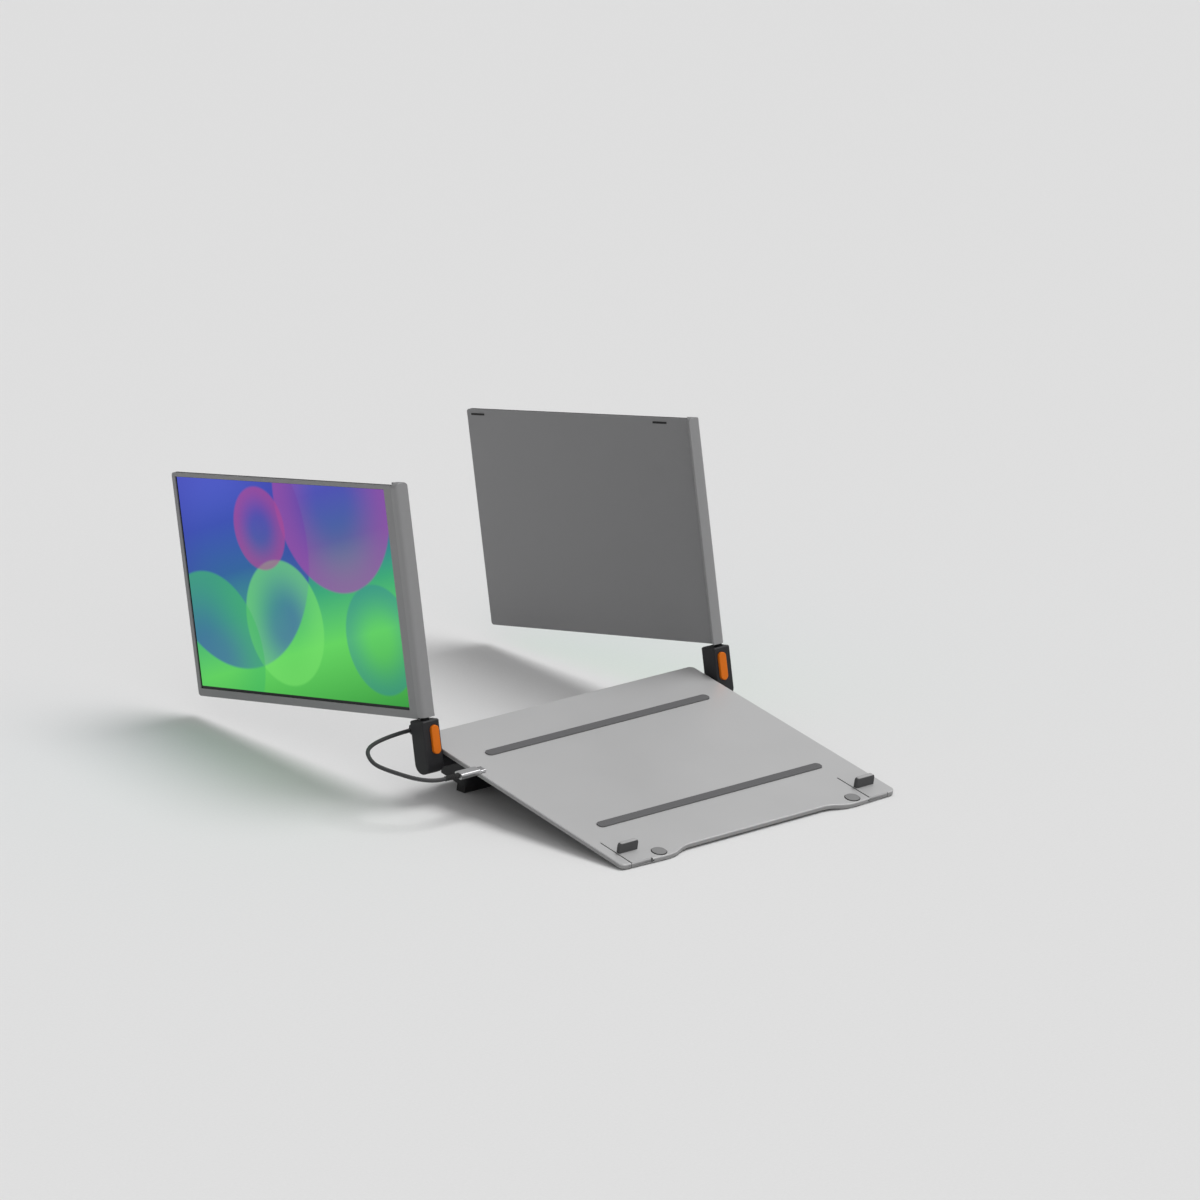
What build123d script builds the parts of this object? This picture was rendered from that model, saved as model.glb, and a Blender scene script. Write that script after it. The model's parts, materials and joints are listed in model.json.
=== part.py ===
from build123d import *
import os
from math import atan2, cos, pi, radians, sin, tan

# Portable monitor with two screens. A sloping tray stands on a riser. At each rear corner a hinge block
# tilts on a steel shaft, and a screen swivels in the block on a leaning spine.
# Sizes are in millimetres and degrees, X to the right, Y to the rear, Z up. The origin is on the desk,
# under the middle of the rear foot. At rest both screens are swung straight back.
# Tray places are (x, v, n): v runs up the slope from the line of the stops, n is square to the tray's top.
# Side places are (o, w, u) from the swivel axis on the block's top: o outwards, w to the rear,
# u up the spine.
# The right side is modelled, and mirrored to make the left side.

# Angles
TRAY_TILT = 10.0
SPINE_LEAN = 10.0

# Clearances, each a gap on one side
SEAT = 0.1
RUNNING = 0.05
SLIDING = 0.3

# Tray
TRAY_WIDTH = 306.4
TRAY_FRONT = 23.3
TRAY_END_FRONT = 21.0
TRAY_REAR = 250.0
DECK_THICK = 4.0
SKIN_THICK = 2.0
DECK_LIP = 5.0
PLATE_FRONT = 24.0
FRONT_GAP = 0.7
TRAY_CORNER = 5.0
DECK_EDGE_ROUND = 0.5
SCALLOP_DEPTH = 7.6
SCALLOP_INSET = 79.2
SCALLOP_RUN = 30.0
LOBE_INSET = 43.2

# Rubber on and under the tray
STRIP_LENGTH = 250.0
STRIP_WIDTH = 9.0
STRIP_ROUND = 4.0
STRIP_SINK = 0.6
STRIP_PROUD = 1.0
STRIP_PLACES = (45.0, 195.0)
BUMPER_INSET = 44.7
BUMPER_BACK = 8.3
BUMPER_R = 6.4
BUMPER_RING = 0.6
BUMPER_SINK = 1.0
BUMPER_PROUD = 0.8
BUMPER_ROUND = 0.4
FOOT_BACK = 7.4
FOOT_R = 7.2

# Sliding stops
STOP_INSET = 20.4
TONGUE_WIDTH = 21.2
TONGUE_SKIN = 1.4
TONGUE_PROUD = 0.6
TONGUE_FLANGE = 2.0
TONGUE_THICK = 2.9
TONGUE_REAR = 19.5
TONGUE_FRONT = 21.5
SEAM = 0.5
STOP_WIDTH = 20.4
STOP_THICK = 4.4
STOP_HEIGHT = 10.0
STOP_CORNER = 3.5
STOP_ROUND = 1.2
UPSTAND_THICK = 1.6
UPSTAND_WIDTH = 15.0
UPSTAND_HEIGHT = 7.6

# Riser under the rear of the tray
RISER_INSET = 25.2
RISER_DROP = 36.5
RISER_WALL = 2.0
RISER_CORNER = 4.0
RISER_COVER = 2.5
REAR_FOOT_DEPTH = 10.8
REAR_FOOT_BACK = 23.0
REAR_FOOT_INSET = 2.0
BEAM_WALL = 1.8
BEAM_END_GAP = 4.0
SCREW_R = 1.5
SCREW_LENGTH = 11.0
SCREW_HEAD_R = 2.8
SCREW_HEAD = 1.4
SCREW_INSET = 28.0
BOSS_R = 3.5
BOSS_GAP = 1.5

# Tilt shafts
TILT_DROP = 37.5
TILT_SHAFT_R = 4.5
TILT_GRIP = 62.0
TILT_END_WALL = 3.3
SLEEVE_R = 6.5

# Hinge blocks, measured from the swivel axis
BLOCK_SIDE_GAP = 2.0
AXIS_INSET = 17.2
AXIS_HEIGHT = 24.5
BLOCK_OUT = 7.8
BLOCK_IN = 10.3
BLOCK_FRONT = 6.55
BLOCK_BACK = 11.75
BLOCK_ROUND = 1.6
BLOCK_CHAMFER = 0.9
BLOCK_WALL = 2.0
COVER_PLATE = 2.0
COVER_LEDGE = 0.5
COVER_DOWN = 4.0
COVER_FLOOR_WALL = 4.0

# Swivel
SWIVEL_R = 2.5
SWIVEL_GRIP = 26.0
BUSH_WALL = 0.7
BUSH_LENGTH = 18.0
BUSH_FLANGE_R = 4.0
BUSH_FLANGE = 1.0

# Release buttons
BUTTON_IN = 3.3
BUTTON_WIDTH = 8.0
BUTTON_HEIGHT = 25.0
BUTTON_DOWN = 4.4
BUTTON_PROUD = 2.5
BUTTON_ROUND = 0.8
BUTTON_RIM = 0.8
BUTTON_FLANGE = 0.6
BUTTON_TRAVEL = 0.8
BUTTON_WALL = 0.9
LEAF_THICK = 0.3
LEAF_WIDTH = 4.0
LEAF_LENGTH = 18.0

# Screens
PICTURE_WIDTH = 301.6
PICTURE_HEIGHT = 188.5
MASK_HINGE = 0.5
MASK_FAR = 1.45
MASK_TOP = 0.4
MASK_BOTTOM = 2.4
BEZEL_HINGE = 9.7
BEZEL_FAR = 4.8
BEZEL_TOP = 3.5
BEZEL_BOTTOM = 7.0
BEZEL_THICK = 1.0
FRAME_THICK = 2.8
COVER_THICK = 1.2
PANEL_THICK = 1.6
PANEL_EDGE = 1.5
FRAME_WALL = 1.4
SCREEN_CORNER = 3.0
SCREEN_EDGE_ROUND = 0.45
SCREEN_LIFT = 1.4
DISPLAY_OUT = 4.8
BOARD_WIDTH = 110.0
BOARD_HEIGHT = 40.0
BOARD_THICK = 1.0
BOARD_RISE = 14.0
REST_LENGTH = 18.5
REST_HEIGHT = 1.6
REST_SINK = 0.5
REST_PROUD = 0.5
REST_DROP = 4.6
REST_FAR = 6.8
REST_HINGE = 33.4

# Spines
SPINE_FRONT = 4.25
SPINE_INNER = 9.6
SPINE_NOSE_R = 4.0
SPINE_CREASE_R = 1.2
SPINE_BACK = 3.6
SPINE_TAIL = 7.6
SPINE_LIFT = 2.5
SPINE_RISE = 1.8
CAP_HEIGHT = 5.5
CAP_INNER = 8.4
CAP_ROUND = 5.0
CAP_RIM = 0.6

# Lead of the left screen
CABLE_R = 1.8
GLAND_WIDTH = 7.0
GLAND_OUT = 0.5
GLAND_DOWN = 9.7
GLAND_HALF = 4.4
GLAND_REACH = 6.75
GLAND_ROUND = 2.6
GLAND_NECK = 3.0
GLAND_NECK_R = 2.6
GLAND_TIP_R = 2.2
RELIEF_R = 2.6
RELIEF_TIP_R = 2.2
RELIEF_LENGTH = 14.5
PLUG_V = 171.6
PLUG_GAP = 0.8
PLUG_LENGTH = 20.5
PLUG_WIDTH = 9.6
PLUG_HIGH = 5.2
PLUG_ROUND = 1.9
TIP_LENGTH = 6.5
TIP_WIDTH = 8.3
TIP_HIGH = 2.6
TIP_ROUND = 1.2
CABLE_OUT = 19.1
CABLE_IN = 16.9
CABLE_BENDS = [(-53.5, -7.6, -2.2), (-64.0, -27.2, -7.7), (-60.0, -41.9, -11.9)]
CABLE_ARC_SHARE = 0.45

# Places worked out from the sizes
TILT_SIN = sin(radians(TRAY_TILT))
TILT_COS = cos(radians(TRAY_TILT))
LEAN_SIN = sin(radians(SPINE_LEAN))
LEAN_COS = cos(radians(SPINE_LEAN))
TRAY_HALF = TRAY_WIDTH / 2
UNDERSIDE = -DECK_THICK
REAR_FOOT_END = TRAY_REAR - REAR_FOOT_BACK
REAR_FOOT_START = REAR_FOOT_END - REAR_FOOT_DEPTH
FOOT_MIDDLE = (REAR_FOOT_START + REAR_FOOT_END) / 2
TRAY_Z = FRONT_GAP + TRAY_FRONT * TILT_SIN + DECK_THICK * TILT_COS
TRAY_Y = -FOOT_MIDDLE / TILT_COS - TRAY_Z * tan(radians(TRAY_TILT))
TRAY = Plane(origin=(0, TRAY_Y, TRAY_Z), x_dir=(1, 0, 0), z_dir=(0, -TILT_SIN, TILT_COS))
LOBE_START = TRAY_HALF - SCALLOP_INSET + SCALLOP_RUN
BUMPER_X = TRAY_HALF - BUMPER_INSET
BUMPER_V = BUMPER_BACK - TRAY_FRONT
FOOT_V = FOOT_BACK - TRAY_FRONT
STOP_X = TRAY_HALF - STOP_INSET
AXIS_X = TRAY_HALF + BLOCK_SIDE_GAP + BLOCK_IN
AXIS = TRAY.from_local_coords(Vector(0, TRAY_REAR - AXIS_INSET, AXIS_HEIGHT))
SIDE = Plane(origin=(AXIS_X, AXIS.Y, AXIS.Z), x_dir=(1, 0, 0), z_dir=(0, LEAN_SIN, LEAN_COS))
TILT_W = (BLOCK_BACK - BLOCK_FRONT) / 2
TILT_U = -TILT_DROP
BLOCK_END_R = (BLOCK_BACK + BLOCK_FRONT) / 2
TILT = SIDE.from_local_coords(Vector(0, TILT_W, TILT_U))
TILT_V = TRAY.to_local_coords(TILT).Y
TILT_N = TRAY.to_local_coords(TILT).Z
RISER_HALF = TRAY_HALF - RISER_INSET
RISER_FRONT = TILT_V - TILT_SHAFT_R - BEAM_WALL - SEAT - RISER_WALL
RISER_FLOOR = UNDERSIDE - RISER_DROP
RISER_ROOF = UNDERSIDE - RISER_WALL
BEAM_END = RISER_HALF - RISER_WALL - BEAM_END_GAP
SHAFT_END = AXIS_X + BLOCK_OUT - TILT_END_WALL
SCREW_V = TRAY_REAR - RISER_WALL - BOSS_GAP - BOSS_R
SCREW_X = (SCREW_INSET - RISER_HALF, 0, RISER_HALF - SCREW_INSET)
BUTTON_O = -BUTTON_IN
BUTTON_SEAT = BUTTON_WALL - BLOCK_FRONT
RIM_BACK = BUTTON_SEAT + RUNNING + BUTTON_FLANGE
POCKET_BACK = RIM_BACK + BUTTON_TRAVEL + LEAF_THICK + SEAT
BUSH_R = SWIVEL_R + RUNNING + BUSH_WALL
COVER_BACK = DISPLAY_OUT - BEZEL_THICK - FRAME_THICK - COVER_THICK
FRAME_BACK = COVER_BACK + COVER_THICK
BEZEL_BACK = FRAME_BACK + FRAME_THICK
OPEN_W0 = SPINE_BACK + BEZEL_HINGE
OPEN_W1 = OPEN_W0 + MASK_HINGE + PICTURE_WIDTH + MASK_FAR
OPEN_U0 = SCREEN_LIFT + BEZEL_BOTTOM
OPEN_U1 = OPEN_U0 + MASK_BOTTOM + PICTURE_HEIGHT + MASK_TOP
SCREEN_W1 = OPEN_W1 + BEZEL_FAR
SCREEN_U1 = OPEN_U1 + BEZEL_TOP
CAP_TOP = SCREEN_U1 + SPINE_RISE
CAP_BOTTOM = CAP_TOP - CAP_HEIGHT
GLAND_W = BLOCK_BACK + GLAND_REACH
PLUG_FRONT = -TRAY_HALF - PLUG_GAP
PLUG_BACK = PLUG_FRONT - PLUG_LENGTH
RELIEF_END = PLUG_BACK - RELIEF_LENGTH
PLUG_N = TIP_HIGH / 2
REACH = 4 * TRAY_WIDTH


def block(x, y, z):
    """A box between the low and high place on each axis."""
    return Pos(sum(x) / 2, sum(y) / 2, sum(z) / 2) * Box(x[1] - x[0], y[1] - y[0], z[1] - z[0])


def post(radius, x, y, z):
    """A round post along Z, between two heights."""
    return Pos(x, y, sum(z) / 2) * Cylinder(radius, z[1] - z[0])


def rod(radius, x, y, z):
    """A round rod along X, between two places."""
    return Pos(sum(x) / 2, y, z) * Rot(0, 90, 0) * Cylinder(radius, x[1] - x[0])


def taper(start_radius, end_radius, x, y, z):
    """A cone along X, between two places."""
    return Pos(sum(x) / 2, y, z) * Rot(0, 90, 0) * Cone(start_radius, end_radius, x[1] - x[0])


def pill(width, height, top, w):
    """An upright pill on the button's middle line, between two places along w."""
    face = Plane.XZ * SlotOverall(height, width, rotation=90)
    return Pos(BUTTON_O, w[0], top - height / 2) * extrude(face, w[1] - w[0], dir=(0, 1, 0))


def other_side(shape):
    return mirror(shape, about=Plane.YZ)


def both_sides(shape):
    return shape + other_side(shape)


def above_desk(shape):
    return shape & block((-REACH, REACH), (-REACH, REACH), (0, REACH))


# Tray

def deck_outline():
    """Half of the deck's outline: the front edge steps forward in two tangent arcs to a lobe."""
    notch = SCALLOP_DEPTH - TRAY_FRONT
    step = LOBE_START - SCALLOP_RUN
    radius = (SCALLOP_RUN ** 2 + SCALLOP_DEPTH ** 2) / (4 * SCALLOP_DEPTH)
    turn = 2 * atan2(SCALLOP_DEPTH, SCALLOP_RUN) * 180 / pi
    front = Line((0, notch), (step, notch))
    turn_out = JernArc(front @ 1, (1, 0), radius, -turn)
    turn_back = JernArc(turn_out @ 1, turn_out % 1, radius, turn)
    rest = Polyline(turn_back @ 1, (TRAY_HALF - LOBE_INSET, -TRAY_FRONT), (TRAY_HALF, -TRAY_END_FRONT),
                    (TRAY_HALF, TRAY_REAR), (0, TRAY_REAR), (0, notch))
    return make_face(Curve() + [front, turn_out, turn_back, rest])


def stop_channel():
    """Undercut channel that a stop's tongue slides in, open at the front edge."""
    half = TONGUE_WIDTH / 2 + SEAM
    wide = TONGUE_WIDTH / 2 + TONGUE_FLANGE + SLIDING
    length = (-2 * TRAY_FRONT, TONGUE_REAR + SLIDING)
    mouth = block((STOP_X - half, STOP_X + half), length, (-TONGUE_THICK, DECK_THICK))
    undercut = block((STOP_X - wide, STOP_X + wide), length, (-TONGUE_THICK - SEAT, -TONGUE_SKIN + SEAT))
    return mouth + undercut


def strip(place, gap):
    """A grip strip, or the groove that holds it when given a gap."""
    half = STRIP_LENGTH / 2 + gap
    depth = STRIP_WIDTH / 2 + gap
    body = block((-half, half), (place - depth, place + depth), (-STRIP_SINK, STRIP_PROUD))
    return fillet(body.edges().filter_by(Axis.Z), STRIP_ROUND)


def tray_deck():
    half = extrude(deck_outline(), DECK_THICK, dir=(0, 0, -1))
    half = fillet(half.edges().filter_by(Axis.Z).group_by(Axis.X)[-1], TRAY_CORNER)
    deck = both_sides(half)
    deck = fillet(deck.faces().sort_by(Axis.Z)[-1].edges(), DECK_EDGE_ROUND)
    side = TRAY_HALF - DECK_LIP
    deck -= block((-side, side), (PLATE_FRONT, TRAY_REAR - DECK_LIP), (UNDERSIDE, -SKIN_THICK))
    bumper_seat = post(BUMPER_R + BUMPER_RING, BUMPER_X, BUMPER_V, (-BUMPER_SINK, BUMPER_SINK))
    deck -= both_sides(stop_channel() + bumper_seat)
    for place in STRIP_PLACES:
        deck -= strip(place, SEAT)
    return TRAY * deck


def base_plate():
    side = TRAY_HALF - DECK_LIP - SEAT
    depth = (PLATE_FRONT + SEAT, TRAY_REAR - DECK_LIP - SEAT)
    return TRAY * block((-side, side), depth, (UNDERSIDE, -SKIN_THICK))


def grip_strips():
    return TRAY * Compound([strip(place, 0) for place in STRIP_PLACES])


def front_bumpers():
    body = post(BUMPER_R, BUMPER_X, BUMPER_V, (-BUMPER_SINK, BUMPER_PROUD))
    return TRAY * both_sides(fillet(body.edges().group_by(Axis.Z)[-1], BUMPER_ROUND))


def front_feet():
    """Round feet, cut off level with the desk."""
    foot = post(FOOT_R, BUMPER_X, FOOT_V, (UNDERSIDE - DECK_THICK, UNDERSIDE))
    return both_sides(above_desk(TRAY * foot))


# Sliding stops

def upstand(gap):
    """The metal tab inside a stop's sleeve, or the slot for it when given a gap."""
    half = UPSTAND_WIDTH / 2 + gap
    depth = UPSTAND_THICK / 2 + gap
    middle = -STOP_THICK / 2
    height = (-TONGUE_SKIN, UPSTAND_HEIGHT + gap)
    return block((STOP_X - half, STOP_X + half), (middle - depth, middle + depth), height)


def stop_slide():
    half = TONGUE_WIDTH / 2
    wide = half + TONGUE_FLANGE
    length = (-TONGUE_FRONT, TONGUE_REAR)
    skin = block((STOP_X - half, STOP_X + half), length, (-TONGUE_SKIN, TONGUE_PROUD))
    flange = block((STOP_X - wide, STOP_X + wide), length, (-TONGUE_THICK, -TONGUE_SKIN))
    return TRAY * (skin + flange + upstand(0))


def stop_sleeve():
    half = STOP_WIDTH / 2
    body = block((STOP_X - half, STOP_X + half), (-STOP_THICK, 0), (TONGUE_PROUD, STOP_HEIGHT))
    body = fillet(body.edges().filter_by(Axis.Y).group_by(Axis.Z)[-1], STOP_CORNER)
    rims = body.faces().sort_by(Axis.Y)
    upper_rim = [edge for edge in rims[0].edges() + rims[-1].edges() if edge.center().Z > TONGUE_PROUD]
    body = fillet(upper_rim, STOP_ROUND)
    return TRAY * (body - upstand(RUNNING))


# Riser and tilt hinge

def riser_housing():
    body = block((-RISER_HALF, RISER_HALF), (RISER_FRONT, TRAY_REAR), (RISER_FLOOR, UNDERSIDE))
    body = fillet(body.edges().filter_by(Axis.Z), RISER_CORNER)
    side = RISER_HALF - RISER_WALL
    depth = (RISER_FRONT + RISER_WALL, TRAY_REAR - RISER_WALL)
    body -= block((-side, side), depth, (RISER_FLOOR, RISER_ROOF))
    body -= rod(TILT_SHAFT_R + SLIDING, (-RISER_HALF, RISER_HALF), TILT_V, TILT_N)
    for x in SCREW_X:
        body += post(BOSS_R, x, SCREW_V, (RISER_FLOOR + RISER_COVER, RISER_ROOF))
        body -= post(SCREW_R, x, SCREW_V, (RISER_FLOOR, RISER_FLOOR + SCREW_LENGTH))
    return TRAY * body


def riser_cover():
    side = RISER_HALF - RISER_WALL - SEAT
    depth = (RISER_FRONT + RISER_WALL + SEAT, TRAY_REAR - RISER_WALL - SEAT)
    body = block((-side, side), depth, (RISER_FLOOR, RISER_FLOOR + RISER_COVER))
    for x in SCREW_X:
        body -= post(SCREW_R + SEAT, x, SCREW_V, (RISER_FLOOR, RISER_FLOOR + RISER_COVER))
        body -= post(SCREW_HEAD_R + SEAT, x, SCREW_V, (RISER_FLOOR, RISER_FLOOR + SCREW_HEAD))
    return TRAY * body


def riser_screws():
    screws = []
    for x in SCREW_X:
        thread = post(SCREW_R, x, SCREW_V, (RISER_FLOOR, RISER_FLOOR + SCREW_LENGTH))
        screws.append(thread + post(SCREW_HEAD_R, x, SCREW_V, (RISER_FLOOR, RISER_FLOOR + SCREW_HEAD)))
    return TRAY * Compound(screws)


def rear_foot():
    side = RISER_HALF - REAR_FOOT_INSET
    foot = block((-side, side), (REAR_FOOT_START, REAR_FOOT_END), (RISER_FLOOR - RISER_DROP, RISER_FLOOR))
    return above_desk(TRAY * foot)


def hinge_beam():
    half = TILT_SHAFT_R + BEAM_WALL
    body = block((-BEAM_END, BEAM_END), (TILT_V - half, TILT_V + half), (TILT_N - half, RISER_ROOF))
    for shaft in ((BEAM_END - TILT_GRIP, BEAM_END), (-BEAM_END, TILT_GRIP - BEAM_END)):
        body -= rod(TILT_SHAFT_R, shaft, TILT_V, TILT_N)
    return TRAY * body


def tilt_shaft():
    return rod(TILT_SHAFT_R, (BEAM_END - TILT_GRIP, SHAFT_END - SLIDING), TILT.Y, TILT.Z)


def hinge_sleeve():
    length = (RISER_HALF, AXIS_X - BLOCK_IN - SLIDING)
    return rod(SLEEVE_R, length, TILT.Y, TILT.Z) - rod(TILT_SHAFT_R, length, TILT.Y, TILT.Z)


# Hinge block

def wiring_space(gap, w):
    """The hollow behind the bush, widened by a gap on four sides."""
    floor = TILT_U + TILT_SHAFT_R + COVER_FLOOR_WALL
    width = (BLOCK_WALL - BLOCK_IN - gap, BLOCK_OUT - BLOCK_WALL + gap)
    return block(width, w, (floor - gap, gap - COVER_DOWN))


def button_hole():
    """Opening for the button's cap, and the pocket behind it for the rim and the leaf spring."""
    hole = None
    cap_run = (-2 * BLOCK_FRONT, BUTTON_SEAT)
    rim_run = (BUTTON_SEAT, POCKET_BACK)
    for gap, w in ((SLIDING, cap_run), (BUTTON_RIM + SLIDING, rim_run)):
        space = pill(BUTTON_WIDTH + 2 * gap, BUTTON_HEIGHT + 2 * gap, gap - BUTTON_DOWN, w)
        hole = space if hole is None else hole + space
    return hole


def block_shell():
    """Upright block, its lower end round about the tilt shaft."""
    width = (-BLOCK_IN, BLOCK_OUT)
    body = block(width, (-BLOCK_FRONT, BLOCK_BACK), (TILT_U, 0)) + rod(BLOCK_END_R, width, TILT_W, TILT_U)
    ends = body.faces().sort_by(Axis.X)
    body = fillet([edge for edge in ends[0].edges() + ends[-1].edges() if edge.center().Z < 0], BLOCK_ROUND)
    body = chamfer(body.faces().sort_by(Axis.Z)[-1].edges(), BLOCK_CHAMFER)
    body -= post(BUSH_R, 0, 0, (-BUSH_LENGTH - SLIDING, 0))
    body -= button_hole()
    body -= wiring_space(0, (BUSH_R + COVER_LEDGE, BLOCK_BACK - COVER_PLATE))
    body -= wiring_space(COVER_LEDGE, (BLOCK_BACK - COVER_PLATE, BLOCK_BACK))
    return SIDE * body - rod(TILT_SHAFT_R + RUNNING, (AXIS_X - BLOCK_IN, SHAFT_END), TILT.Y, TILT.Z)


def block_cover():
    return SIDE * wiring_space(COVER_LEDGE - SEAT, (BLOCK_BACK - COVER_PLATE, BLOCK_BACK))


def swivel_bush():
    body = post(BUSH_R, 0, 0, (-BUSH_LENGTH, 0)) + post(BUSH_FLANGE_R, 0, 0, (0, BUSH_FLANGE))
    return SIDE * (body - post(SWIVEL_R + RUNNING, 0, 0, (-BUSH_LENGTH, BUSH_FLANGE)))


def release_button():
    front = -BLOCK_FRONT - BUTTON_PROUD
    cap = pill(BUTTON_WIDTH, BUTTON_HEIGHT, -BUTTON_DOWN, (front, BUTTON_SEAT + RUNNING))
    cap = fillet(cap.faces().sort_by(Axis.Y)[0].edges(), BUTTON_ROUND)
    rim = pill(BUTTON_WIDTH + 2 * BUTTON_RIM, BUTTON_HEIGHT + 2 * BUTTON_RIM, BUTTON_RIM - BUTTON_DOWN,
               (BUTTON_SEAT + RUNNING, RIM_BACK))
    return SIDE * (cap + rim)


def button_spring():
    """Bowed leaf: its ends rest on the pocket's back, and its crown on the button's rim."""
    bow = POCKET_BACK - RIM_BACK - LEAF_THICK - 2 * RUNNING
    half = LEAF_LENGTH / 2
    radius = (half ** 2 + bow ** 2) / (2 * bow)
    width = (-LEAF_WIDTH / 2, LEAF_WIDTH / 2)
    ring = rod(radius, width, 0, 0) - rod(radius - LEAF_THICK, width, 0, 0)
    leaf = ring & block(width, (-radius, bow + LEAF_THICK - radius), (-half, half))
    return SIDE * Pos(BUTTON_O, RIM_BACK + RUNNING + radius, -BUTTON_DOWN - BUTTON_HEIGHT / 2) * leaf


# Screens

def spine_face():
    """Section of the spine: flat front, round nose on the picture side, slanting inner side."""
    nose = DISPLAY_OUT - SPINE_NOSE_R
    front = Line((-SPINE_INNER, -SPINE_FRONT), (nose, -SPINE_FRONT))
    turn = JernArc(front @ 1, (1, 0), SPINE_NOSE_R, 90)
    rest = Polyline(turn @ 1, (DISPLAY_OUT, SPINE_BACK), (COVER_BACK, SPINE_BACK), (COVER_BACK, SPINE_TAIL),
                    (-SPINE_INNER, -SPINE_FRONT))
    face = make_face(Curve() + [front, turn, rest])
    return fillet(face.vertices().sort_by_distance(front @ 0)[0], SPINE_CREASE_R)


def spine():
    body = Pos(0, 0, SPINE_LIFT) * extrude(spine_face(), CAP_BOTTOM - SPINE_LIFT)
    return SIDE * (body - post(SWIVEL_R, 0, 0, (SPINE_LIFT, SPINE_LIFT + SWIVEL_GRIP)))


def spine_cap():
    """End cap whose top is rounded down to both sides, with an eased front rim."""
    body = Pos(0, 0, CAP_BOTTOM) * extrude(spine_face(), CAP_HEIGHT)
    arch = block((-CAP_INNER, DISPLAY_OUT), (-SPINE_FRONT, SPINE_TAIL), (CAP_BOTTOM, CAP_TOP))
    arch = fillet(arch.edges().filter_by(Axis.Y).group_by(Axis.Z)[-1], CAP_ROUND)
    front_edges = arch.faces().sort_by(Axis.Y)[0].edges()
    arch = fillet([edge for edge in front_edges if edge.center().Z > CAP_TOP - CAP_ROUND], CAP_RIM)
    return SIDE * (body & arch)


def swivel_shaft():
    return SIDE * post(SWIVEL_R, 0, 0, (-BUSH_LENGTH, SPINE_LIFT + SWIVEL_GRIP))


def swivel_washer():
    height = (BUSH_FLANGE + SEAT, SPINE_LIFT)
    return SIDE * (post(SPINE_BACK - SLIDING, 0, 0, height) - post(SWIVEL_R, 0, 0, height))


def screen_slab(o):
    body = block(o, (SPINE_BACK, SCREEN_W1), (SCREEN_LIFT, SCREEN_U1))
    return fillet(body.edges().filter_by(Axis.X).group_by(Axis.Y)[-1], SCREEN_CORNER)


def front_bezel():
    body = screen_slab((BEZEL_BACK, DISPLAY_OUT))
    rim = body.faces().sort_by(Axis.X)[-1].edges()
    body = fillet([edge for edge in rim if edge.center().Y > SPINE_BACK], SCREEN_EDGE_ROUND)
    return SIDE * (body - block((BEZEL_BACK, DISPLAY_OUT), (OPEN_W0, OPEN_W1), (OPEN_U0, OPEN_U1)))


def edge_frame():
    inside = block((FRAME_BACK, BEZEL_BACK), (SPINE_BACK + FRAME_WALL, SCREEN_W1 - FRAME_WALL),
                   (SCREEN_LIFT + FRAME_WALL, SCREEN_U1 - FRAME_WALL))
    return SIDE * (screen_slab((FRAME_BACK, BEZEL_BACK)) - inside)


def rear_rest(start, gap):
    """A rubber rest near the top of the rear cover, or its groove when given a gap."""
    half = REST_HEIGHT / 2 + gap
    middle = SCREEN_U1 - REST_DROP
    depth = (COVER_BACK - REST_PROUD, COVER_BACK + REST_SINK)
    return block(depth, (start - gap, start + REST_LENGTH + gap), (middle - half, middle + half))


REST_STARTS = (SPINE_BACK + REST_HINGE, SCREEN_W1 - REST_FAR - REST_LENGTH)


def rear_cover():
    body = screen_slab((COVER_BACK, FRAME_BACK))
    rim = body.faces().sort_by(Axis.X)[0].edges()
    body = fillet([edge for edge in rim if edge.center().Y > SPINE_BACK], SCREEN_EDGE_ROUND)
    for start in REST_STARTS:
        body -= rear_rest(start, SEAT)
    return SIDE * body


def rear_rests():
    return SIDE * Compound([rear_rest(start, 0) for start in REST_STARTS])


def display_panel():
    width = (OPEN_W0 - PANEL_EDGE, OPEN_W1 + PANEL_EDGE)
    height = (OPEN_U0 - PANEL_EDGE, OPEN_U1 + PANEL_EDGE)
    return SIDE * block((BEZEL_BACK - PANEL_THICK, BEZEL_BACK), width, height)


def driver_board():
    middle = (OPEN_W0 + OPEN_W1) / 2
    low = OPEN_U0 + BOARD_RISE
    width = (middle - BOARD_WIDTH / 2, middle + BOARD_WIDTH / 2)
    return SIDE * block((FRAME_BACK, FRAME_BACK + BOARD_THICK), width, (low, low + BOARD_HEIGHT))


# Lead of the left screen

def cable_gland():
    """Moulded elbow on the block's rear cover, with a neck that the lead leaves sideways."""
    inner = GLAND_OUT - GLAND_WIDTH
    height = (-GLAND_DOWN - GLAND_HALF, GLAND_HALF - GLAND_DOWN)
    elbow = block((inner, GLAND_OUT), (BLOCK_BACK, GLAND_W + GLAND_HALF), height)
    elbow = fillet(elbow.edges().filter_by(Axis.X).group_by(Axis.Y)[-1], GLAND_ROUND)
    neck = taper(GLAND_NECK_R, GLAND_TIP_R, (GLAND_OUT, GLAND_OUT + GLAND_NECK), GLAND_W, -GLAND_DOWN)
    return SIDE * (elbow + neck)


def cable_points():
    """The lead's route: straight out of the gland, round to the left, and straight into the plug's relief."""
    outlet = SIDE.from_local_coords(Vector(GLAND_OUT + GLAND_NECK, GLAND_W, -GLAND_DOWN))
    start = Vector(-outlet.X, outlet.Y, outlet.Z)
    end = TRAY.from_local_coords(Vector(RELIEF_END, PLUG_V, PLUG_N))
    bends = [start + Vector(*bend) for bend in CABLE_BENDS]
    return [start, start - Vector(CABLE_OUT, 0, 0), *bends, end - Vector(CABLE_IN, 0, 0), end]


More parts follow.
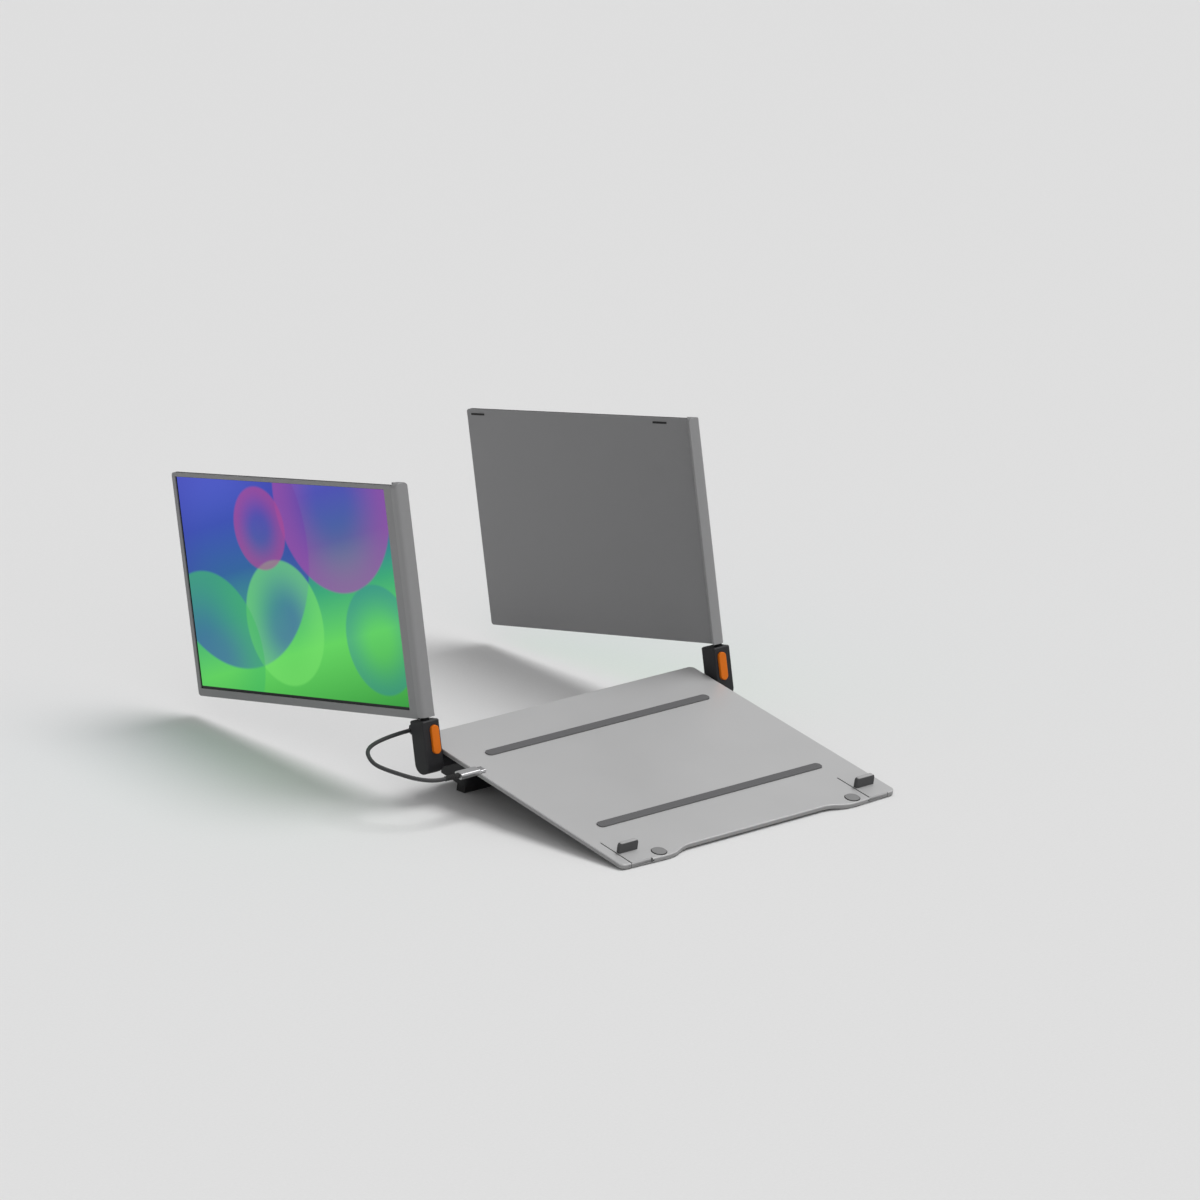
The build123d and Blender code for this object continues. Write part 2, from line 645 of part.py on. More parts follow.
def cable():
    points = cable_points()
    radii = []
    for before, here, after in zip(points, points[1:], points[2:]):
        half_turn = radians((here - before).get_angle(after - here)) / 2
        shorter = min((here - before).length, (after - here).length)
        radii.append(CABLE_ARC_SHARE * shorter / tan(half_turn))
    path = FilletPolyline(*points, radius=radii)
    body = sweep(Plane(origin=path @ 0, z_dir=path % 0) * Circle(CABLE_R), path=path)
    share = body.volume / (pi * CABLE_R ** 2 * path.length)
    print("cable points", [tuple(round(value, 2) for value in point) for point in points])
    print("cable radii", [round(radius, 1) for radius in radii])
    print("cable length %.1f, volume over section times length %.4f" % (path.length, share))
    return body


def plug_bar(width, height, corner, x):
    body = block(x, (PLUG_V - width / 2, PLUG_V + width / 2), (PLUG_N - height / 2, PLUG_N + height / 2))
    return TRAY * fillet(body.edges().filter_by(Axis.X), corner)


def plug_relief():
    return TRAY * taper(RELIEF_TIP_R, RELIEF_R, (RELIEF_END, PLUG_BACK), PLUG_V, PLUG_N)


def plug_shell():
    return plug_bar(PLUG_WIDTH, PLUG_HIGH, PLUG_ROUND, (PLUG_BACK, PLUG_FRONT))


def plug_tip():
    return plug_bar(TIP_WIDTH, TIP_HIGH, TIP_ROUND, (PLUG_FRONT, PLUG_FRONT + TIP_LENGTH))


SINGLE = [tray_deck, base_plate, grip_strips, front_bumpers, front_feet, riser_housing, riser_cover,
          riser_screws, rear_foot, hinge_beam, cable, plug_relief, plug_shell, plug_tip]
PAIRED = [stop_slide, stop_sleeve, tilt_shaft, hinge_sleeve, block_shell, block_cover, swivel_bush,
          release_button, button_spring, spine, spine_cap, swivel_shaft, swivel_washer, front_bezel,
          edge_frame, rear_cover, rear_rests, display_panel, driver_board]

nodes = {make.__name__: make() for make in SINGLE}
nodes["cable_gland"] = other_side(cable_gland())
for make in PAIRED:
    right = make()
    nodes["right_" + make.__name__] = right
    nodes["left_" + make.__name__] = other_side(right)

os.makedirs("parts", exist_ok=True)
for name, shape in nodes.items():
    export_step(shape, os.path.join("parts", name + ".step"))
print(len(nodes), "nodes")
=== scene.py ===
import json
from math import cos, pi, radians, sin

import bmesh
import bpy
from bpy.props import FloatProperty, FloatVectorProperty, IntProperty, PointerProperty
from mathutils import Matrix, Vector


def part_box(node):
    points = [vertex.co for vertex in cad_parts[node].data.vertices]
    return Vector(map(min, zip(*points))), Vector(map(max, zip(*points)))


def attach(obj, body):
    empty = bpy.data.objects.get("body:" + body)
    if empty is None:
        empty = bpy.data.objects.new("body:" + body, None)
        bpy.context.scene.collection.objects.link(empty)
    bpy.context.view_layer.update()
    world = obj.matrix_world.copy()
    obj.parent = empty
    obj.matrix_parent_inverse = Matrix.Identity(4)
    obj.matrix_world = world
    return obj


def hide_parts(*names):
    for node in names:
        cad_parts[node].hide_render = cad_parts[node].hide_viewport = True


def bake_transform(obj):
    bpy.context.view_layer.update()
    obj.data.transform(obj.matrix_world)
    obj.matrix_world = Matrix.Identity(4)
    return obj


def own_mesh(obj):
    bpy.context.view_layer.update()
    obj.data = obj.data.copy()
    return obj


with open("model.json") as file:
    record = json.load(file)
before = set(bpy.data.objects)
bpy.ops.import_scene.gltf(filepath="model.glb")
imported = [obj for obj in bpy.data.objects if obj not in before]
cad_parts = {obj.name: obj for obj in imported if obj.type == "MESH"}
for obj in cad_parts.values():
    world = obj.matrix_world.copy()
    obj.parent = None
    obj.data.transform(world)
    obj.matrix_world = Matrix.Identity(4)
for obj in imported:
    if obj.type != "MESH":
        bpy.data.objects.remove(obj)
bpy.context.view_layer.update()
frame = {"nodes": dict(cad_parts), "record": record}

bl_info = {
    "name": "Dual-screen portable monitor",
    "version": (1, 0, 0),
    "blender": (4, 5, 0),
    "location": "View3D > Sidebar > Monitor",
    "description": "Finishes, lead and small hardware of a portable monitor with two swivelling screens",
    "category": "Object",
}

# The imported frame, in metres: X to the right, Y to the rear, Z up
JOINTS = {joint["name"]: joint for joint in frame["record"]["behaviour"]["joints"]}
MOUNTS = {mount["name"]: mount for mount in frame["record"]["mounts"]}
HANDS = {"left": -1, "right": 1}
MM = 0.001

# Camera, from the photograph's viewing angle, with its sensor in millimetres
VIEW_AZIMUTH = radians(-40.08)
VIEW_ELEVATION = radians(16.79)
VIEW_TARGET = Vector((-0.0627, -0.1107, 0.1851))
VIEW_DISTANCE = 5.319
VIEW_REACH = 50.0
SENSOR_WIDTH = 36.0

# Floor, and soft suns: how far off they stand, the direction to each, and how wide it looks
FLOOR_HALF = 20.0
SUN_DISTANCE = 2.0
KEY_DIRECTION = Vector((0.38, -0.12, 0.92))
KEY_SPREAD = radians(32.0)
FILL_DIRECTION = Vector((-0.1, -0.8, 0.59))
FILL_SPREAD = radians(90.0)

# The lead's route from the gland to the plug's relief
LEAD_ROUTE = [(-0.1690, 0.01499, 0.06047), (-0.1881, 0.01499, 0.06047), (-0.2225, 0.00739, 0.05827),
              (-0.2330, -0.01221, 0.05277), (-0.2290, -0.02691, 0.04857), (-0.2059, -0.05778, 0.03976),
              (-0.1890, -0.05778, 0.03976)]
LEAD_DIAMETER = 3.6 * MM

# Strain relief: its radius at the lead and at the plug, its eased ends, and the grooves between its rings
RELIEF_START = 2.2 * MM
RELIEF_END = 2.6 * MM
RELIEF_EASE = 0.3 * MM
COLLAR_STEP = 0.1 * MM
GROOVE_DEPTH = 0.5 * MM

# Shares of the relief's length: before its rings, over them, and up to its plain collar
BEFORE_RINGS = 0.08
OVER_RINGS = 0.62
UP_TO_COLLAR = 0.80

# Shares of the rings' pitch: one side of a groove, and a whole groove
GROOVE_SIDE = 0.10
GROOVE_WIDTH = 0.50

# Connector: the shell's outside, wall, eased mouth and closed end, and the tongue inside it
TIP_WIDTH = 8.3 * MM
TIP_HEIGHT = 2.6 * MM
TIP_CORNER = 1.2 * MM
TIP_WALL = 0.35 * MM
TIP_EASE = 0.1 * MM
TIP_FLOOR = 0.5 * MM
BLADE_WIDTH = 6.6 * MM
BLADE_HEIGHT = 0.7 * MM
BLADE_CORNER = 0.2 * MM
BLADE_SET_BACK = 0.7 * MM

# Tray: distances up the slope from the stops' rear faces, and heights square to the deck's top
STRIP_FRONT = 45.0 * MM
STRIP_REAR = 195.0 * MM
STRIP_TOP = 1.0 * MM
PLATE_UNDER = 4.0 * MM
TONGUE_HALF = 10.6 * MM
TONGUE_REAR = 19.5 * MM
TONGUE_SEAM = 0.5 * MM
BUMPER_RADIUS = 6.4 * MM
BUMPER_RING = 0.6 * MM
SLEEVE_TOP = 10.0 * MM
SLEEVE_RIB_PITCH = 1.1 * MM

# Painted shade and a painted highlight on the tray: the heights between which each fades, its strength,
# and how far it reaches from the middle of a seam or a bumper, just past the gap's walls
EDGE_SHADE = (-1.6 * MM, -0.5 * MM)
EDGE_SHADE_STRENGTH = 0.48
GAP_SHADE = (-0.05 * MM, 0.25 * MM)
GAP_SHADE_STRENGTH = 0.92
GAP_TOP = -0.02 * MM
SEAM_REACH = 0.54 * TONGUE_SEAM
RING_REACH = BUMPER_RADIUS + 1.1 * BUMPER_RING
BUMPER_SHADE = (0.25 * MM, 0.6 * MM)
BUMPER_SHADE_STRENGTH = 0.95
# Heights over which a sleeve's top gets its painted highlight
SLEEVE_HIGHLIGHT = (SLEEVE_TOP - 1.0 * MM, SLEEVE_TOP - 0.3 * MM)

# Ribs on the grip strips: half the length they cover, their own length, and how deep they sit
RIBBED_HALF = 122.0 * MM
RIB_LENGTH = 8.0 * MM
RIB_SUNK = 0.3 * MM

# Base plate screws: places across the tray, rows up its slope, and a row of two at its ends
SCREW_COLUMNS = (-140.0 * MM, -50.0 * MM, 50.0 * MM, 140.0 * MM)
SCREW_ROWS = (34.0 * MM, 204.0 * MM)
SCREW_END_ROW = 120.0 * MM

# Screws of a block's rear cover: places from the swivel axis, and size beside the base plate's screws
COVER_BACK = 11.75 * MM
COVER_SCREW_OUT = -2.0 * MM
COVER_SCREW_UPS = (-20.0 * MM, -27.0 * MM)
COVER_SCREW_SHARE = 0.7

# Leaf spring behind a button: its middle, crown and seat from the swivel axis, its own sizes, and
# where it starts to taper and how wide its tips are, as shares of its half length and its width
BUTTON_OUT = -3.3 * MM
BUTTON_UP = -16.9 * MM
LEAF_CROWN = -4.95 * MM
LEAF_LENGTH = 18.0 * MM
LEAF_WIDTH = 4.0 * MM
LEAF_THICK = 0.3 * MM
LEAF_BOW = 0.8 * MM
LEAF_TAPER_FROM = 0.8
LEAF_TIP_SHARE = 0.6

# The lit area of a screen, measured from the swivel axis: to the rear, and up the spine
PICTURE_NEAR = 13.8 * MM
PICTURE_LOW = 10.8 * MM
PICTURE_WIDTH = 301.6 * MM
PICTURE_HEIGHT = 188.5 * MM

# The picture's slanting gradient, from below to above, in linear colours
GRADIENT_SLANT = 0.22
GRADIENT_SPAN = 1.35
GRADIENT = [
    (0.0, (0.02, 0.30, 0.03, 1)),
    (0.28, (0.10, 0.62, 0.09, 1)),
    (0.46, (0.02, 0.36, 0.16, 1)),
    (0.62, (0.005, 0.11, 0.30, 1)),
    (0.80, (0.02, 0.06, 0.42, 1)),
    (1.0, (0.07, 0.10, 0.62, 1)),
]

# Soft discs over it: place across and up, radius, strength and colour
DISCS = [
    (0.78, 0.72, 0.62, 0.75, (0.02, 0.03, 0.36, 1)),
    (0.26, 0.94, 0.44, 0.80, (0.26, 0.05, 0.34, 1)),
    (0.55, 0.34, 0.30, 0.55, (0.16, 0.72, 0.12, 1)),
    (0.92, 0.16, 0.40, 0.60, (0.03, 0.44, 0.10, 1)),
    (0.10, 0.30, 0.26, 0.50, (0.01, 0.20, 0.26, 1)),
    (0.62, 0.78, 0.20, 0.70, (0.34, 0.04, 0.26, 1)),
]

# The discs' soft edge, inside and outside the radius, and their heart: its size and how strong it is
DISC_EDGE_IN = 0.012
DISC_EDGE_OUT = 0.004
DISC_HEART = 0.2
DISC_HEART_STRENGTH = 0.15

# Finishes: the grain's depth, how far its specks change the colour, and what most of a noise lies between
GRAIN_DEPTH = 0.04 * MM
GRAIN_TINT = 0.06
NOISE_RANGE = (0.3, 0.7)
BLACK = (0.0, 0.0, 0.0, 1.0)

# Points of a mesh that are nearer than this are merged
MERGE_DISTANCE = 0.002 * MM


# Frames

def side_axes(hand):
    """Swivel axis point of one side, with its outward, rearward and upward directions."""
    joint = JOINTS[hand + "_swivel"]
    up = Vector(joint["axis"])
    up = up if up.z > 0 else -up
    return Vector(joint["pos_m"]), Vector((HANDS[hand], 0, 0)), Vector((0, up.z, -up.y)), up


def side_point(hand, out, rear, up):
    origin, out_axis, rear_axis, up_axis = side_axes(hand)
    return origin + out_axis * out + rear_axis * rear + up_axis * up


def tray_axes():
    """Middle of the deck's top at the stops, with the directions up the slope and square to it."""
    mount = MOUNTS["front_strip_rest"]
    square = Vector(mount["axis"])
    slope = Vector((0, square.z, -square.y))
    return Vector(mount["pos_m"]) - slope * STRIP_FRONT - square * STRIP_TOP, slope, square


# Node trees

def add_node(tree, kind, **settings):
    """A node with properties set by name, and input defaults set by name or number under inputs."""
    node = tree.nodes.new(kind)
    for socket, value in settings.pop("inputs", {}).items():
        node.inputs[socket].default_value = value
    for key, value in settings.items():
        setattr(node, key, value)
    return node


def math_node(tree, operation, first, second=None):
    node = add_node(tree, "ShaderNodeMath", operation=operation)
    for slot, value in enumerate((first, second)):
        if isinstance(value, (int, float)):
            node.inputs[slot].default_value = value
        elif value is not None:
            tree.links.new(value, node.inputs[slot])
    return node.outputs[0]


def dot_node(tree, vector, direction):
    node = add_node(tree, "ShaderNodeVectorMath", operation="DOT_PRODUCT")
    tree.links.new(vector, node.inputs[0])
    node.inputs[1].default_value = direction
    return node.outputs["Value"]


def ramp_node(tree, factor, low, high, start, end):
    """Smooth change from one value to another between two factors."""
    node = add_node(tree, "ShaderNodeMapRange", interpolation_type="SMOOTHSTEP")
    tree.links.new(factor, node.inputs["Value"])
    for socket, value in zip(("From Min", "From Max", "To Min", "To Max"), (start, end, low, high)):
        node.inputs[socket].default_value = value
    return node.outputs["Result"]


def noise_ramp(tree, noise, low, high):
    """A value that drifts between two others with a noise."""
    return ramp_node(tree, noise.outputs["Fac"], low, high, *NOISE_RANGE)


def distance_node(tree, across, up, place):
    """Distance in a plane from a fixed place."""
    point = add_node(tree, "ShaderNodeCombineXYZ")
    tree.links.new(across, point.inputs["X"])
    tree.links.new(up, point.inputs["Y"])
    node = add_node(tree, "ShaderNodeVectorMath", operation="DISTANCE")
    tree.links.new(point.outputs[0], node.inputs[0])
    node.inputs[1].default_value = (*place, 0.0)
    return node.outputs["Value"]


def mix_colour(tree, factor, first, second):
    """Mix of two colours, by the numbers of the Mix node's colour sockets, because their names repeat."""
    node = add_node(tree, "ShaderNodeMix", data_type="RGBA")
    for slot, value in ((0, factor), (6, first), (7, second)):
        if isinstance(value, bpy.types.NodeSocket):
            tree.links.new(value, node.inputs[slot])
        else:
            node.inputs[slot].default_value = value
    return node.outputs[2]


def new_group(name, inputs, outputs):
    """A shader node group with float or colour sockets, and its input and output nodes."""
    tree = bpy.data.node_groups.new(name, "ShaderNodeTree")
    for label, default in inputs:
        kind = "NodeSocketColor" if isinstance(default, tuple) else "NodeSocketFloat"
        tree.interface.new_socket(label, in_out="INPUT", socket_type=kind).default_value = default
    for label, kind in outputs:
        tree.interface.new_socket(label, in_out="OUTPUT", socket_type=kind)
    return tree, tree.nodes.new("NodeGroupInput"), tree.nodes.new("NodeGroupOutput")


def grain_group():
    """Fine moulded or blasted grain: a height for bump, with colour and roughness that drift a little."""
    tree, source, result = new_group(
        "fine_grain",
        [("Color", (0.5, 0.5, 0.5, 1.0)), ("Grain per metre", 2200.0), ("Drift per metre", 14.0),
         ("Drift", 0.08), ("Roughness", 0.5), ("Roughness drift", 0.08)],
        [("Color", "NodeSocketColor"), ("Roughness", "NodeSocketFloat"), ("Height", "NodeSocketFloat")])
    place = add_node(tree, "ShaderNodeTexCoord").outputs["Object"]
    fine = add_node(tree, "ShaderNodeTexNoise", inputs={"Detail": 2.0, "Roughness": 0.6})
    broad = add_node(tree, "ShaderNodeTexNoise", inputs={"Detail": 4.0, "Roughness": 0.55})
    for noise, label in ((fine, "Grain per metre"), (broad, "Drift per metre")):
        tree.links.new(place, noise.inputs["Vector"])
        tree.links.new(source.outputs[label], noise.inputs["Scale"])
    drift = math_node(tree, "SUBTRACT", broad.outputs["Fac"], 0.5)
    speck = math_node(tree, "SUBTRACT", fine.outputs["Fac"], 0.5)
    tone = math_node(tree, "ADD", math_node(tree, "MULTIPLY", drift, source.outputs["Drift"]), 1.0)
    tone = math_node(tree, "ADD", tone, math_node(tree, "MULTIPLY", speck, GRAIN_TINT))
    scaled = add_node(tree, "ShaderNodeVectorMath", operation="SCALE")
    tree.links.new(source.outputs["Color"], scaled.inputs[0])
    tree.links.new(tone, scaled.inputs["Scale"])
    rough = math_node(tree, "MULTIPLY", drift, source.outputs["Roughness drift"])
    rough = math_node(tree, "ADD", rough, source.outputs["Roughness"])
    tree.links.new(scaled.outputs[0], result.inputs["Color"])
    tree.links.new(rough, result.inputs["Roughness"])
    tree.links.new(fine.outputs["Fac"], result.inputs["Height"])


def picture_group():
    """An abstract picture of soft discs on a slanting gradient. Across and Up run from 0 to 1."""
    tree, source, result = new_group("abstract_picture", [("Across", 0.5), ("Up", 0.5)],
                                     [("Color", "NodeSocketColor")])
    aspect = PICTURE_WIDTH / PICTURE_HEIGHT
    across = math_node(tree, "MULTIPLY", source.outputs["Across"], aspect)
    slant = math_node(tree, "MULTIPLY", across, GRADIENT_SLANT)
    slant = math_node(tree, "ADD", source.outputs["Up"], slant)
    ramp = add_node(tree, "ShaderNodeValToRGB")
    tree.links.new(math_node(tree, "DIVIDE", slant, GRADIENT_SPAN), ramp.inputs["Fac"])
    stops = ramp.color_ramp.elements
    while len(stops) < len(GRADIENT):
        stops.new(0.5)
    for stop, (place, colour) in zip(stops, GRADIENT):
        stop.position = place
        stop.color = colour
    colour = ramp.outputs["Color"]
    for x, y, radius, strength, tint in DISCS:
        away = distance_node(tree, across, source.outputs["Up"], (x * aspect, y))
        inside = ramp_node(tree, away, 1.0, 0.0, radius - DISC_EDGE_IN, radius + DISC_EDGE_OUT)
        glow = ramp_node(tree, away, DISC_HEART_STRENGTH, 1.0, DISC_HEART * radius, radius)
        mask = math_node(tree, "MULTIPLY", math_node(tree, "MULTIPLY", inside, glow), strength)
        colour = mix_colour(tree, mask, colour, tint)
    tree.links.new(colour, result.inputs["Color"])


# Materials

def new_material(name):
    material = bpy.data.materials.new(name)
    material.use_nodes = True
    tree = material.node_tree
    return material, tree, tree.nodes["Principled BSDF"]


def grained(name, colour, roughness, grain=2200.0, bump=0.06, drift=0.08, metallic=0.0, specular=0.5):
    """A finish with fine grain. Constants go straight onto the shader."""
    material, tree, shader = new_material(name)
    group = add_node(tree, "ShaderNodeGroup")
    group.node_tree = bpy.data.node_groups["fine_grain"]
    for socket, value in (("Color", (*colour, 1.0)), ("Grain per metre", grain), ("Drift", drift),
                          ("Roughness", roughness)):
        group.inputs[socket].default_value = value
    tree.links.new(group.outputs["Color"], shader.inputs["Base Color"])
    tree.links.new(group.outputs["Roughness"], shader.inputs["Roughness"])
    relief = add_node(tree, "ShaderNodeBump", inputs={"Strength": bump, "Distance": GRAIN_DEPTH})
    tree.links.new(group.outputs["Height"], relief.inputs["Height"])
    tree.links.new(relief.outputs["Normal"], shader.inputs["Normal"])
    shader.inputs["Metallic"].default_value = metallic
    shader.inputs["Specular IOR Level"].default_value = specular
    return material


def tint_where(tree, mask, tint):
    """Mixes a colour into a finish where a mask is 1."""
    base = tree.nodes["Principled BSDF"].inputs["Base Color"]
    tree.links.new(mix_colour(tree, mask, base.links[0].from_socket, tint), base)


def deck_places(tree):
    """Distance from the tray's middle, distance up its slope, and height square to the deck's top."""
    origin, along_slope, square = tray_axes()
    place = add_node(tree, "ShaderNodeTexCoord").outputs["Object"]
    aside = math_node(tree, "ABSOLUTE", dot_node(tree, place, (1.0, 0.0, 0.0)))
    along = math_node(tree, "SUBTRACT", dot_node(tree, place, along_slope), origin.dot(along_slope))
    height = math_node(tree, "SUBTRACT", dot_node(tree, place, square), origin.dot(square))
    return aside, along, height


def seam_mask(tree, aside, along):
    """1 in the seams beside the tongues."""
    low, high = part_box("right_stop_slide")
    off_tongue = math_node(tree, "SUBTRACT", aside, (low.x + high.x) / 2)
    off_tongue = math_node(tree, "ABSOLUTE", off_tongue)
    off_seam = math_node(tree, "SUBTRACT", off_tongue, TONGUE_HALF + TONGUE_SEAM / 2)
    beside = math_node(tree, "LESS_THAN", math_node(tree, "ABSOLUTE", off_seam), SEAM_REACH)
    return math_node(tree, "MULTIPLY", beside, math_node(tree, "LESS_THAN", along, TONGUE_REAR))


def ring_mask(tree, aside, along, height):
    """1 in the rings round the bumpers, under the deck's top."""
    low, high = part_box("front_bumpers")
    origin, along_slope, _ = tray_axes()
    place = (high.x - BUMPER_RADIUS, ((low + high) / 2 - origin).dot(along_slope))
    near = math_node(tree, "LESS_THAN", distance_node(tree, aside, along, place), RING_REACH)
    return math_node(tree, "MULTIPLY", near, math_node(tree, "LESS_THAN", height, GAP_TOP))


def deck_metal(name, colour):
    """Blasted metal with shade in the seams beside the tongues, round the bumpers and low on its edge."""
    material = grained(name, colour, 0.42, grain=3000.0, bump=0.10, drift=0.05, metallic=0.35)
    tree = material.node_tree
    aside, along, height = deck_places(tree)
    tint_where(tree, ramp_node(tree, height, EDGE_SHADE_STRENGTH, 0.0, *EDGE_SHADE), BLACK)
    gap = math_node(tree, "MAXIMUM", seam_mask(tree, aside, along), ring_mask(tree, aside, along, height))
    below = ramp_node(tree, height, GAP_SHADE_STRENGTH, 0.0, *GAP_SHADE)
    tint_where(tree, math_node(tree, "MULTIPLY", gap, below), (0.01, 0.01, 0.01, 1.0))
    return material


def bumper_rubber(name, colour):
    """Pale rubber with painted shade low on its side, in the ring round it."""
    material = grained(name, colour, 0.75, grain=1500.0, bump=0.25, drift=0.10, specular=0.3)
    tree = material.node_tree
    _, _, height = deck_places(tree)
    # Painted shade: darker low on the side, where the gap round the bumper lies in shade
    shade = ramp_node(tree, height, BUMPER_SHADE_STRENGTH, 0.0, *BUMPER_SHADE)
    tint_where(tree, shade, (0.005, 0.005, 0.005, 1.0))
    return material


def ribbed(name, colour, roughness, pitch, direction, highlight_colour):
    """Grained rubber with fine straight ribs that follow each other in one direction, and a painted
    highlight along its top.
    """
    material = grained(name, colour, roughness, grain=1500.0, bump=0.2, drift=0.15, specular=0.3)
    tree = material.node_tree
    _, _, height = deck_places(tree)
    # Painted highlight: the sleeve's top is lightened where light catches its ridge
    tint_where(tree, ramp_node(tree, height, 0.0, 1.0, *SLEEVE_HIGHLIGHT), (*highlight_colour, 1.0))
    normal = tree.nodes["Principled BSDF"].inputs["Normal"]
    place = add_node(tree, "ShaderNodeTexCoord").outputs["Object"]
    wave = math_node(tree, "MULTIPLY", dot_node(tree, place, direction), 2 * pi / pitch)
    ribs = add_node(tree, "ShaderNodeBump", inputs={"Strength": 0.7, "Distance": 0.15 * MM})
    tree.links.new(math_node(tree, "SINE", wave), ribs.inputs["Height"])
    tree.links.new(normal.links[0].from_socket, ribs.inputs["Normal"])
    tree.links.new(ribs.outputs["Normal"], normal)
    return material


def brushed(name, colour, roughness, stretch):
    """Turned or ground metal: streaks drawn out along one axis."""
    material, tree, shader = new_material(name)
    place = add_node(tree, "ShaderNodeTexCoord")
    squeeze = add_node(tree, "ShaderNodeMapping", inputs={"Scale": stretch})
    streaks = add_node(tree, "ShaderNodeTexNoise", inputs={"Scale": 900.0, "Detail": 3.0})
    tree.links.new(place.outputs["Object"], squeeze.inputs["Vector"])
    tree.links.new(squeeze.outputs["Vector"], streaks.inputs["Vector"])
    tone = noise_ramp(tree, streaks, 0.85, 1.1)
    tint = add_node(tree, "ShaderNodeVectorMath", operation="SCALE", inputs={0: colour})
    tree.links.new(tone, tint.inputs["Scale"])
    tree.links.new(tint.outputs[0], shader.inputs["Base Color"])
    rough = noise_ramp(tree, streaks, roughness - 0.06, roughness + 0.06)
    tree.links.new(rough, shader.inputs["Roughness"])
    shader.inputs["Metallic"].default_value = 1.0
    return material


def lit_panel(name, brightness):
    """The display: an abstract picture inside a black mask, under glossy glass.

    Its axes are those of the right side, whose rearward and upward directions the left side shares.
    """
    material, tree, shader = new_material(name)
    origin, _, rear_axis, up_axis = side_axes("right")
    place = add_node(tree, "ShaderNodeTexCoord").outputs["Object"]
    shares = []
    for axis, low, size in ((rear_axis, PICTURE_NEAR, PICTURE_WIDTH),
                            (up_axis, PICTURE_LOW, PICTURE_HEIGHT)):
        along = math_node(tree, "SUBTRACT", dot_node(tree, place, axis), origin.dot(axis) + low)
        shares.append(math_node(tree, "DIVIDE", along, size))
    picture = add_node(tree, "ShaderNodeGroup")
    picture.node_tree = bpy.data.node_groups["abstract_picture"]
    mask = None
    for share, socket in zip(shares, ("Across", "Up")):
        tree.links.new(share, picture.inputs[socket])
        centred = math_node(tree, "ABSOLUTE", math_node(tree, "SUBTRACT", share, 0.5))
        inside = math_node(tree, "LESS_THAN", centred, 0.5)
        mask = inside if mask is None else math_node(tree, "MULTIPLY", mask, inside)
    shown = mix_colour(tree, mask, BLACK, picture.outputs["Color"])
    tree.links.new(shown, shader.inputs["Emission Color"])
    shader.inputs["Emission Strength"].default_value = brightness
    smear = add_node(tree, "ShaderNodeTexNoise", inputs={"Scale": 22.0, "Detail": 3.0})
    tree.links.new(place, smear.inputs["Vector"])
    tree.links.new(noise_ramp(tree, smear, 0.16, 0.24), shader.inputs["Roughness"])
    shader.inputs["Base Color"].default_value = (0.004, 0.004, 0.005, 1.0)
    shader.inputs["Specular IOR Level"].default_value = 0.25
    return material


def circuit_board(name):
    """Green lacquer with paler straight traces."""
    material, tree, shader = new_material(name)
    place = add_node(tree, "ShaderNodeTexCoord")
    lines = add_node(tree, "ShaderNodeTexBrick", inputs={
        "Color1": (0.015, 0.12, 0.05, 1), "Color2": (0.02, 0.16, 0.07, 1),
        "Mortar": (0.10, 0.30, 0.12, 1), "Mortar Size": 0.03, "Scale": 160.0})
    turn = add_node(tree, "ShaderNodeMapping", inputs={"Rotation": (0.0, pi / 2, 0.0)})
    tree.links.new(place.outputs["Object"], turn.inputs["Vector"])
    tree.links.new(turn.outputs["Vector"], lines.inputs["Vector"])
    tree.links.new(lines.outputs["Color"], shader.inputs["Base Color"])
    shader.inputs["Roughness"].default_value = 0.35
    return material


def make_materials(look):
    """Makes every finish. The node groups come first, because the finishes look them up by name."""
    grain_group()
    picture_group()
    deck_metal("blasted_deck", look.deck_colour)
    grained("coated_plate", (0.08, 0.08, 0.085), 0.55, grain=1800.0, bump=0.15)
    grained("moulded_charcoal", look.charcoal_colour, 0.50, grain=2400.0, bump=0.18, drift=0.12,
            specular=0.3)
    grained("satin_housing", look.housing_colour, 0.46, grain=2600.0, bump=0.10, drift=0.05,
            metallic=0.25)
    grained("anodised_spine", look.spine_colour, 0.44, grain=3000.0, bump=0.08, drift=0.05,
            metallic=0.25)
    grained("matt_black", (0.006, 0.006, 0.007), 0.55, grain=2400.0, bump=0.10, specular=0.2)
    grained("orange_button", look.button_colour, 0.40, grain=2000.0, bump=0.10, drift=0.10, specular=0.2)
    grained("dark_rubber", (0.10, 0.10, 0.102), 0.75, grain=1500.0, bump=0.25, drift=0.15)
    bumper_rubber("pale_rubber", (0.25, 0.25, 0.252))
    # The stops' sleeves, with a painted highlight along their top
    ribbed("ribbed_rubber", (0.080, 0.080, 0.082), 0.65, SLEEVE_RIB_PITCH, (1.0, 0.0, 0.0),
           highlight_colour=(0.44, 0.44, 0.442))
    grained("black_rubber", (0.012, 0.012, 0.013), 0.78, grain=1500.0, bump=0.25, drift=0.15,
            specular=0.25)
    grained("lead_jacket", look.lead_colour, 0.48, grain=1600.0, bump=0.12, drift=0.10, specular=0.3)
    grained("plug_silver", (0.46, 0.46, 0.47), 0.38, grain=3000.0, bump=0.06, drift=0.05, metallic=0.75)
    brushed("ground_steel", (0.56, 0.56, 0.57), 0.30, (0.05, 1.0, 1.0))
    brushed("extruded_aluminium", (0.60, 0.60, 0.61), 0.38, (0.02, 1.0, 1.0))
    lit_panel("lit_panel", look.brightness)
    circuit_board("circuit_board")


# Pieces

def material_of(name):
    return bpy.data.materials[name]


def finish_node(name, material):
    """Gives a CAD node its finish."""
    slots = frame["nodes"][name].data.materials
    slots.clear()
    slots.append(material_of(material))


def finish_pair(name, material):
    for hand in HANDS:
        finish_node(hand + "_" + name, material)


def add_piece(name, mesh, material, smooth=True):
    piece = bpy.data.objects.new(name, mesh)
    bpy.context.scene.collection.objects.link(piece)
    mesh.materials.clear()
    mesh.materials.append(material_of(material))
    for face in mesh.polygons:
        face.use_smooth = smooth
    return piece


